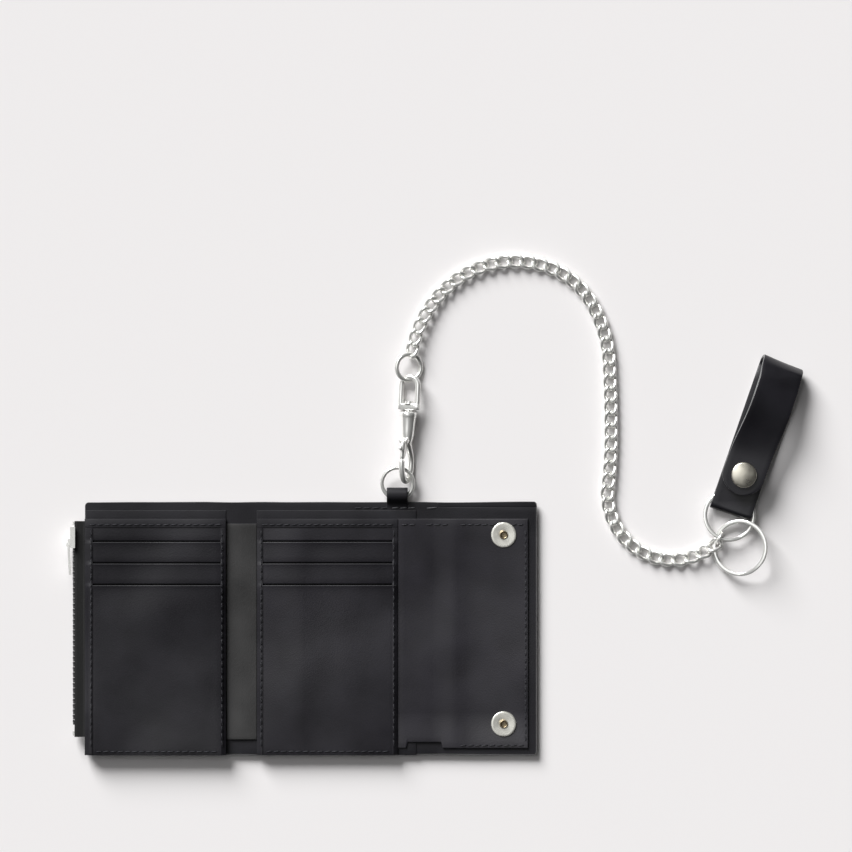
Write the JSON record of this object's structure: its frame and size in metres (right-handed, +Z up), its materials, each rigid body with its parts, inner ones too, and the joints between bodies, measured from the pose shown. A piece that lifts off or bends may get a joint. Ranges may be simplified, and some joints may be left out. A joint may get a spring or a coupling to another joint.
{
  "type": "chain wallet",
  "caption": "Open trifold leather wallet with card slots, a zipped coin pocket and snaps, a swivel snap hook, a curb chain, split rings and a snap belt strap.",
  "frame": {"origin": "middle of the centre panel, on the underside of the outer shell", "axes": "+X along the open wallet from the coin pocket to the flap, +Y towards the edge with the chain, +Z up through the card slots"},
  "size_m": [0.3345, 0.2274, 0.0142],
  "materials": {
    "shell_leather": "smooth black cowhide, fine grain",
    "panel_leather": "smooth black cowhide, semi-matte",
    "spine_leather": "thin black leather, slightly paler",
    "strap_leather": "bridle leather with burnished edges",
    "lining_fabric": "plain woven lining",
    "zip_tape": "woven tape",
    "snap_nickel": "satin nickel plate",
    "zip_metal": "bright nickel plate",
    "chain_nickel": "polished nickel plate"
  },
  "bodies": {
    "center_panel": {"shell_center": "shell_leather", "bill_lining_center": "lining_fabric", "center_card_backing": "panel_leather", "center_card_slot_upper": "panel_leather", "center_card_slot_middle": "panel_leather", "center_card_pocket": "panel_leather", "ring_tab": "shell_leather"},
    "left_spine": {"shell_left_spine": "shell_leather", "spine_strip": "spine_leather"},
    "left_panel": {"shell_left": "shell_leather", "bill_lining_left": "lining_fabric", "coin_pocket_back": "lining_fabric", "coin_pocket_gusset": "lining_fabric", "coin_pocket_front": "panel_leather", "left_card_slot_upper": "panel_leather", "left_card_slot_middle": "panel_leather", "left_card_pocket": "panel_leather", "zip_tape_back": "zip_tape", "zip_tape_front": "zip_tape", "zip_teeth": "zip_metal", "zip_top_stop": "zip_metal", "zip_bottom_stop": "zip_metal", "snap_sockets": "snap_nickel", "snap_socket_posts": "snap_nickel"},
    "zip_slider": {"zip_slider": "zip_metal"},
    "zip_pull": {"zip_pull": "zip_metal"},
    "right_spine": {"shell_right_spine": "shell_leather", "flap_lining_spine": "panel_leather"},
    "flap": {"shell_flap": "shell_leather", "flap_lining": "panel_leather", "snap_caps": "snap_nickel", "snap_studs": "snap_nickel"},
    "tab_ring": {"tab_ring": "chain_nickel"},
    "hook": {"hook_body": "chain_nickel", "gate_pin": "chain_nickel", "swivel_pin": "chain_nickel"},
    "hook_gate": {"hook_gate": "chain_nickel"},
    "swivel_eye": {"swivel_eye": "chain_nickel"},
    "jump_ring": {"jump_ring": "chain_nickel"},
    "chain_01": {"chain_links_01": "chain_nickel"},
    "chain_02": {"chain_links_02": "chain_nickel"},
    "chain_03": {"chain_links_03": "chain_nickel"},
    "chain_04": {"chain_links_04": "chain_nickel"},
    "chain_05": {"chain_links_05": "chain_nickel"},
    "chain_06": {"chain_links_06": "chain_nickel"},
    "chain_07": {"chain_links_07": "chain_nickel"},
    "chain_08": {"chain_links_08": "chain_nickel"},
    "chain_09": {"chain_links_09": "chain_nickel"},
    "chain_10": {"chain_links_10": "chain_nickel"},
    "chain_end_ring": {"chain_end_ring": "chain_nickel"},
    "strap_ring": {"strap_ring": "chain_nickel"},
    "key_ring": {"key_ring": "chain_nickel"},
    "belt_strap": {"belt_strap": "strap_leather", "strap_stud": "snap_nickel", "strap_back_rivet": "snap_nickel"},
    "strap_flap": {"strap_flap": "strap_leather", "strap_socket": "snap_nickel", "strap_cap": "snap_nickel"}
  },
  "joints": [
    {"name": "left_spine_fold", "type": "hinge", "parent": "center_panel", "child": "left_spine", "pos_m": [-0.0364, 0, 0.0006], "axis": [0, 1, 0], "range_deg": [0, 90]},
    {"name": "left_panel_fold", "type": "hinge", "parent": "left_spine", "child": "left_panel", "pos_m": [-0.0467, 0, 0.0006], "axis": [0, 1, 0], "range_deg": [0, 90]},
    {"name": "zip_slide", "type": "slide", "parent": "left_panel", "child": "zip_slider", "axis": [0, 1, 0], "range_m": [-0.082, 0]},
    {"name": "zip_pull_swing", "type": "hinge", "parent": "zip_slider", "child": "zip_pull", "pos_m": [-0.1201, 0.038, 0.0028], "axis": [0, 0, -1], "range_deg": [0, 183]},
    {"name": "right_spine_fold", "type": "hinge", "parent": "center_panel", "child": "right_spine", "pos_m": [0.0398, 0, 0.0006], "axis": [0, -1, 0], "range_deg": [0, 90]},
    {"name": "flap_fold", "type": "hinge", "parent": "right_spine", "child": "flap", "pos_m": [0.0552, 0, 0.0006], "axis": [0, -1, 0], "range_deg": [0, 90]},
    {"name": "tab_ring_swing", "type": "hinge", "parent": "center_panel", "child": "tab_ring", "pos_m": [0.0294, 0.05995, 0.00174], "axis": [1, 0, 0], "range_deg": [0, 58]},
    {"name": "hook_swing", "type": "hinge", "parent": "tab_ring", "child": "hook", "pos_m": [0.0294, 0.066, 0.00259], "axis": [0, -0.1392, 0.9903], "range_deg": [-8, 30]},
    {"name": "gate_press", "type": "hinge", "parent": "hook", "child": "hook_gate", "pos_m": [0.03242, 0.08543, 0.00473], "axis": [0.848, -0.0185, 0.5296], "range_deg": [0, 18], "stiffness_Nm_per_rad": 0.002},
    {"name": "swivel_turn", "type": "hinge", "parent": "hook", "child": "swivel_eye", "pos_m": [0.03452, 0.10056, 0.00191], "axis": [0.0436, 0.9984, -0.0349], "range_deg": [-165, 165]},
    {"name": "jump_ring_swing", "type": "hinge", "parent": "swivel_eye", "child": "jump_ring", "pos_m": [0.03495, 0.11045, 0.00156], "axis": [-0.397, 0.0494, 0.9165], "range_deg": [-8, 10]},
    {"name": "chain_bend_01", "type": "hinge", "parent": "jump_ring", "child": "chain_01", "pos_m": [0.036, 0.1232, -0.00025], "axis": [0, 0, 1], "range_deg": [-12, 12]},
    {"name": "chain_bend_02", "type": "hinge", "parent": "chain_01", "child": "chain_02", "pos_m": [0.04653, 0.14922, -0.00025], "axis": [0, 0, -1], "range_deg": [-12, 12]},
    {"name": "chain_bend_03", "type": "hinge", "parent": "chain_02", "child": "chain_03", "pos_m": [0.06927, 0.16485, -0.00025], "axis": [0, 0, 1], "range_deg": [-12, 12]},
    {"name": "chain_bend_04", "type": "hinge", "parent": "chain_03", "child": "chain_04", "pos_m": [0.09685, 0.16461, -0.00025], "axis": [0, 0, -1], "range_deg": [-12, 12]},
    {"name": "chain_bend_05", "type": "hinge", "parent": "chain_04", "child": "chain_05", "pos_m": [0.11795, 0.14721, -0.00025], "axis": [0, 0, 1], "range_deg": [-12, 12]},
    {"name": "chain_bend_06", "type": "hinge", "parent": "chain_05", "child": "chain_06", "pos_m": [0.12561, 0.1205, -0.00025], "axis": [0, 0, -1], "range_deg": [-12, 12]},
    {"name": "chain_bend_07", "type": "hinge", "parent": "chain_06", "child": "chain_07", "pos_m": [0.12646, 0.09247, -0.00025], "axis": [0, 0, 1], "range_deg": [-12, 12]},
    {"name": "chain_bend_08", "type": "hinge", "parent": "chain_07", "child": "chain_08", "pos_m": [0.12512, 0.06446, -0.00025], "axis": [0, 0, -1], "range_deg": [-12, 12]},
    {"name": "chain_bend_09", "type": "hinge", "parent": "chain_08", "child": "chain_09", "pos_m": [0.13457, 0.03919, -0.00025], "axis": [0, 0, 1], "range_deg": [-10, 10]},
    {"name": "chain_bend_10", "type": "hinge", "parent": "chain_09", "child": "chain_10", "pos_m": [0.15494, 0.03137, -0.00025], "axis": [0, 0, -1], "range_deg": [-6, 8]},
    {"name": "end_ring_swing", "type": "hinge", "parent": "chain_10", "child": "chain_end_ring", "pos_m": [0.1757, 0.04093, 0.00195], "axis": [-0.875, 0.4751, -0.0932], "range_deg": [-8, 3]},
    {"name": "strap_ring_swing", "type": "hinge", "parent": "chain_end_ring", "child": "strap_ring", "pos_m": [0.17622, 0.04104, 0.00267], "axis": [0.9338, -0.3579, 0], "range_deg": [0, 30]},
    {"name": "key_ring_swing", "type": "hinge", "parent": "strap_ring", "child": "key_ring", "pos_m": [0.1823, 0.045, 0.0023], "axis": [0.9507, 0.3101, 0], "range_deg": [0, 24]},
    {"name": "strap_turn", "type": "hinge", "parent": "strap_ring", "child": "belt_strap", "pos_m": [0.1802, 0.0514, 0.0017], "axis": [0.0285, 0.0824, 0.9962], "range_deg": [0, 25]},
    {"name": "strap_open", "type": "hinge", "parent": "belt_strap", "child": "strap_flap", "pos_m": [0.2019, 0.11427, 0.0082], "axis": [-0.9449, 0.3272, 0], "range_deg": [0, 100]}
  ],
  "couplings": [
    {"joint": "left_panel_fold", "follows": "left_spine_fold", "ratio": 1},
    {"joint": "flap_fold", "follows": "right_spine_fold", "ratio": 1}
  ]
}
